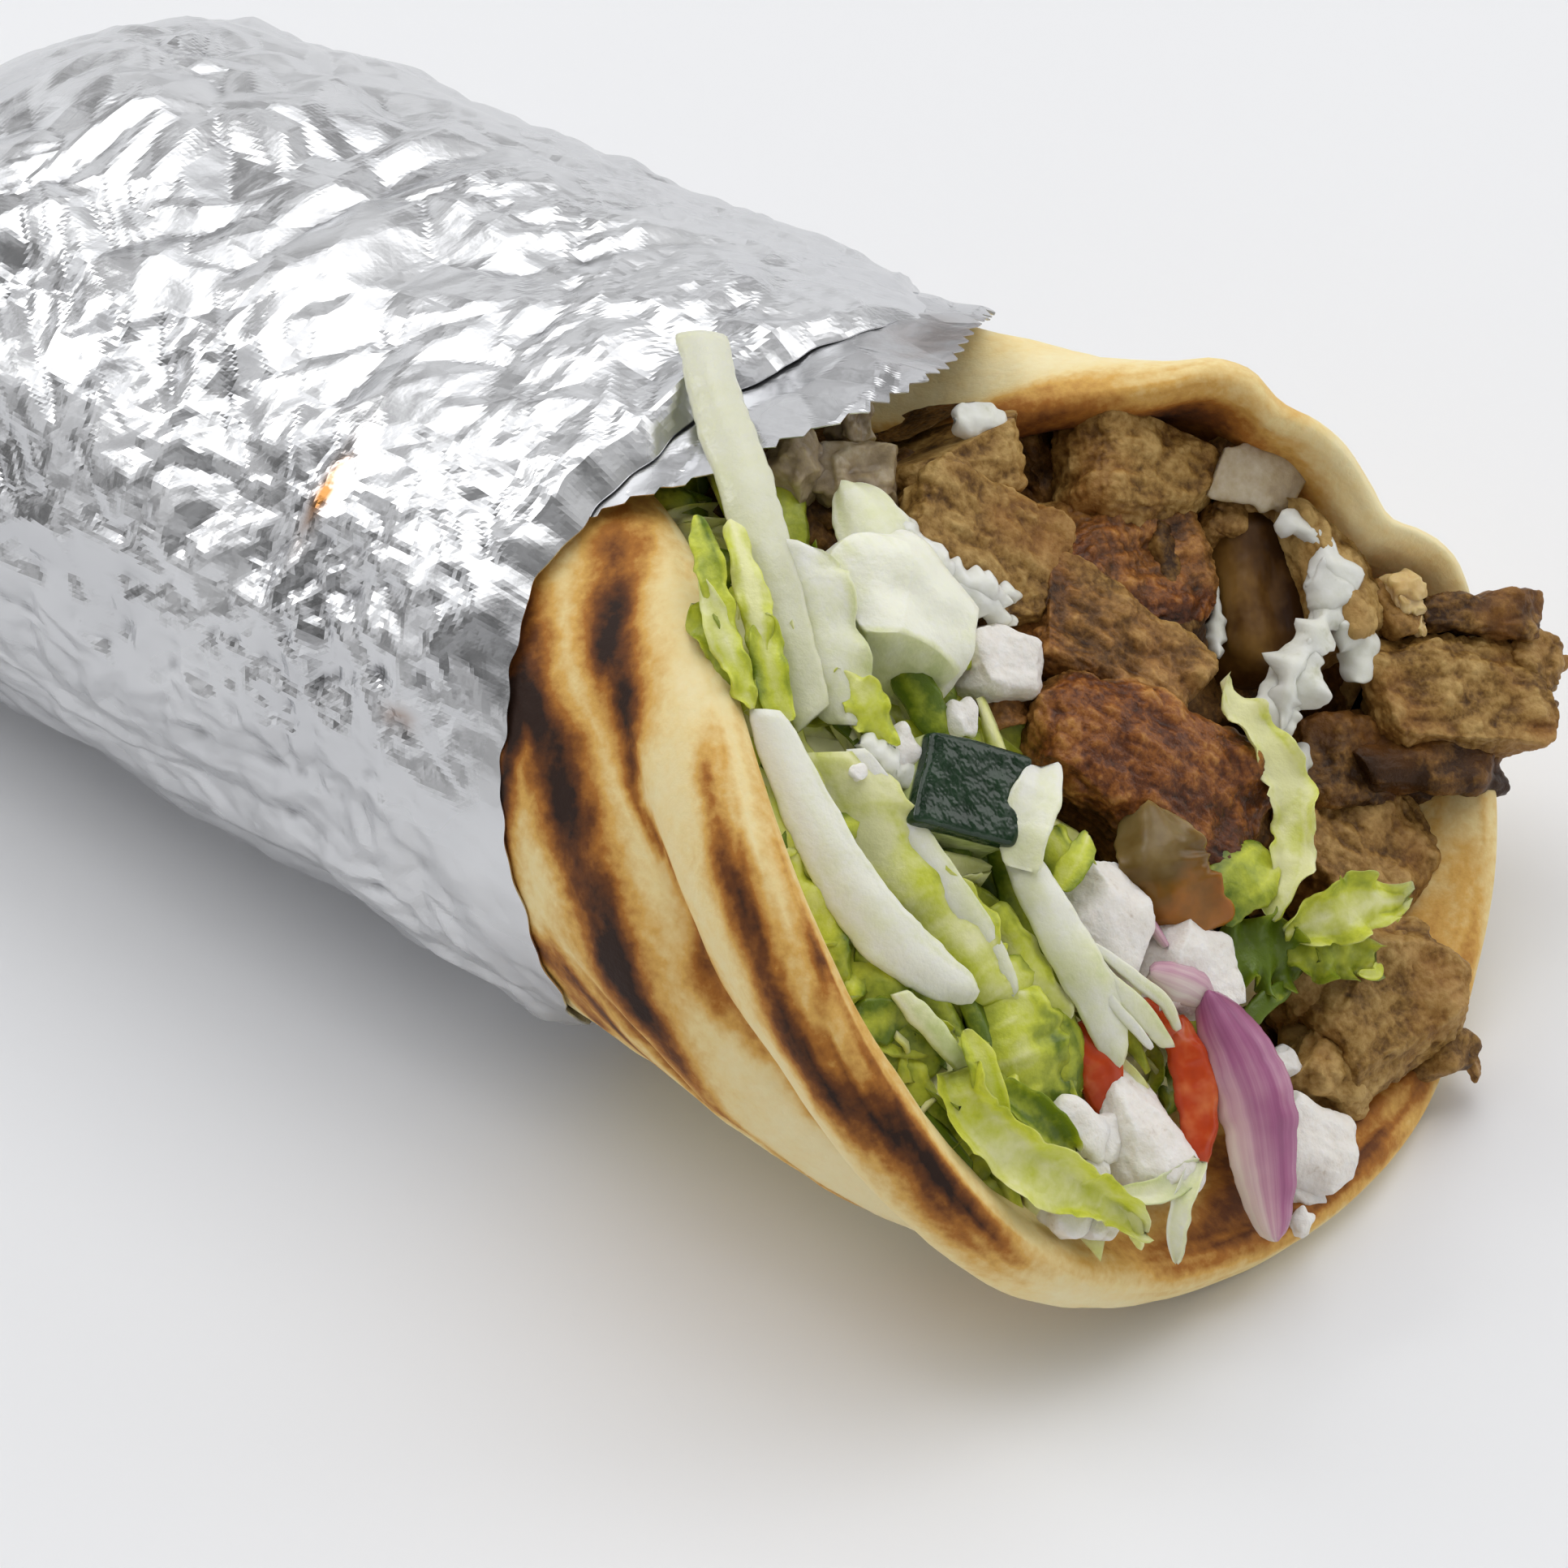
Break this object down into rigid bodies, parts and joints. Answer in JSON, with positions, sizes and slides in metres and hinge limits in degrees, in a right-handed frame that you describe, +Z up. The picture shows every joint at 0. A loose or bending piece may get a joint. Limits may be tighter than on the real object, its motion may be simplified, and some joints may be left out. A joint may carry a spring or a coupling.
{
  "type": "gyro wrap",
  "caption": "Pita rolled around grilled meat, salad, feta and onion, with its lower half in crumpled foil, lying on its side.",
  "frame": {"origin": "centre of the bounding box at the surface that the wrap lies on", "axes": "+X along the wrap from the foil tail to the open mouth, +Y towards the high wall of bread, +Z up"},
  "size_m": [0.1803, 0.0935, 0.0632],
  "materials": {
    "foil": "bright crumpled household foil",
    "bread": "soft pale flatbread with brown grill stripes",
    "grilled_meat": "grainy grilled meat with seared faces",
    "lettuce": "crisp yellow-green shreds",
    "white_onion": "moist, slightly see-through",
    "red_onion": "moist purple skin over a white inside",
    "cooked_onion": "soft, see-through brown",
    "feta": "crumbly and moist",
    "cucumber": "wet dark skin over pale green flesh",
    "tomato": "wet"
  },
  "bodies": {
    "root": {"foil_wrap": "foil", "pita": "bread", "onion_strip_long": "white_onion", "cabbage_strip_near": "white_onion", "cabbage_rib": "white_onion", "lettuce_curl_low": "lettuce", "lettuce_ribbon": "lettuce", "lettuce_leaf_top": "lettuce", "salad_bed": "lettuce", "red_onion_petal": "red_onion", "cooked_onion": "cooked_onion", "tomato_strip": "tomato", "cucumber_piece": "cucumber", "feta_lump_a": "feta", "feta_lump_b": "feta", "feta_lump_c": "feta", "feta_lump_d": "feta", "feta_lump_e": "feta", "meat_over_rim": "grilled_meat", "meat_middle": "grilled_meat", "meat_middle_small": "grilled_meat", "meat_upper_left": "grilled_meat", "meat_upper_left_back": "grilled_meat", "meat_seared": "grilled_meat", "meat_upper_right": "grilled_meat", "meat_dark_slice": "grilled_meat", "meat_by_wall": "grilled_meat", "meat_behind_leaf": "grilled_meat", "meat_lower": "grilled_meat", "meat_bed": "grilled_meat"}
  },
  "joints": []
}
